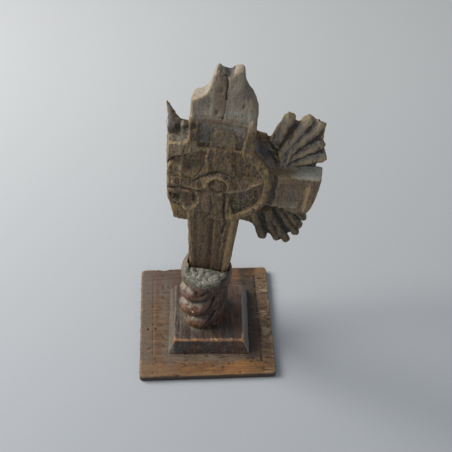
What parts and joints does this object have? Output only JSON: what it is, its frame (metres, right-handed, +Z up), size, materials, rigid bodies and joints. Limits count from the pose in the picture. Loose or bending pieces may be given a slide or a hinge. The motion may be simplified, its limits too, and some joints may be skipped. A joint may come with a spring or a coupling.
{
  "type": "standing cross",
  "caption": "Small standing wooden cross with a carved ring boss and rays between its arms, its left side split away, on a twisted column, a bevelled block and a square board.",
  "frame": {"origin": "centre of the square board's flat underside", "axes": "+Z up, -Y out of the side that the cross's front faces, +X to the right of a person looking at it"},
  "size_m": [0.1001, 0.08, 0.198],
  "materials": {
    "board_wood": "worn varnish over brown wood, dusty, bright orange-brown where rubbed",
    "block_wood": "dark brown varnished wood with rubbed edges and dust",
    "column_wood": "varnished red-brown wood, dusty on its upper sides",
    "putty": "dry grey-green filling paste, granular",
    "cross_wood": "dry weathered grey-brown wood, golden brown on raised edges"
  },
  "bodies": {
    "root": {"base_board": "board_wood", "plinth_block": "block_wood", "twisted_column": "column_wood", "putty_fill": "putty", "carved_cross": "cross_wood"}
  },
  "joints": []
}
